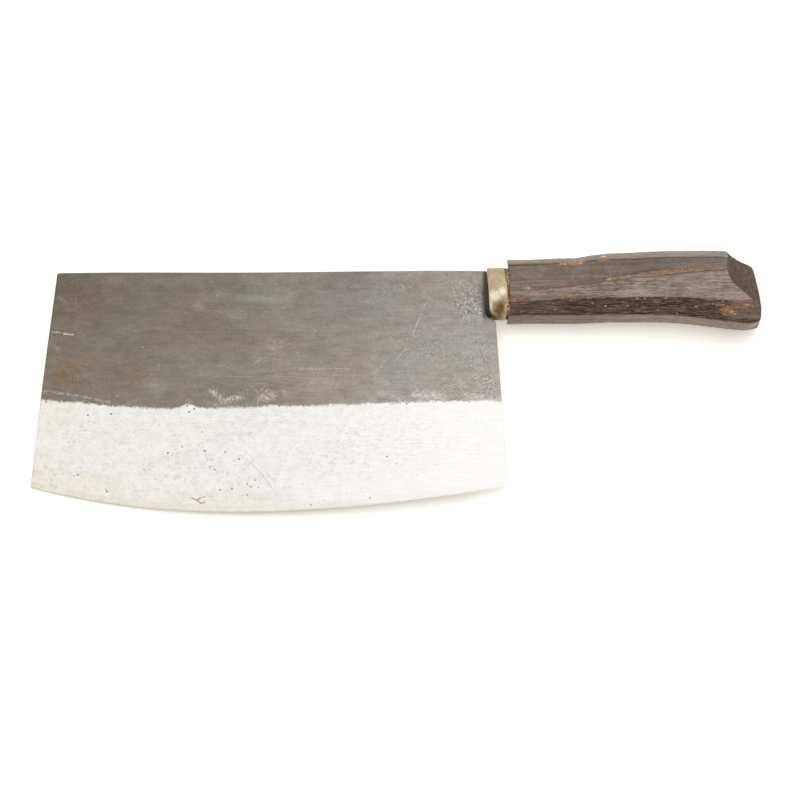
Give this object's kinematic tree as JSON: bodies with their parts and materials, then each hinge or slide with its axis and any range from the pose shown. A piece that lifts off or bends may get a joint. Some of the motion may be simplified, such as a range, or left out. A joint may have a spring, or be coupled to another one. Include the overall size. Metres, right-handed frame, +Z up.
{
  "type": "slicing cleaver",
  "caption": "Broad forged slicing cleaver with dark scale on its flats, a bright ground bevel, a brass ferrule and a whittled hardwood handle on a bedded stick tang.",
  "frame": {"origin": "on the table, under the middle of the knife's bounding box, with the knife lying on its side at rest", "axes": "+X from the blade's tip to the butt of the handle, +Y from the cutting edge to the spine, +Z up from the table"},
  "size_m": [0.318, 0.116, 0.0296],
  "materials": {
    "steel": "forge scale above a ground bevel",
    "brass": "dull, tarnished",
    "wood": "whittled, oiled by use",
    "resin": "hardened, brown"
  },
  "bodies": {
    "root": {"blade": "steel", "ferrule": "brass", "handle": "wood", "tang_bedding": "resin", "ferrule_bead": "resin"}
  },
  "joints": []
}
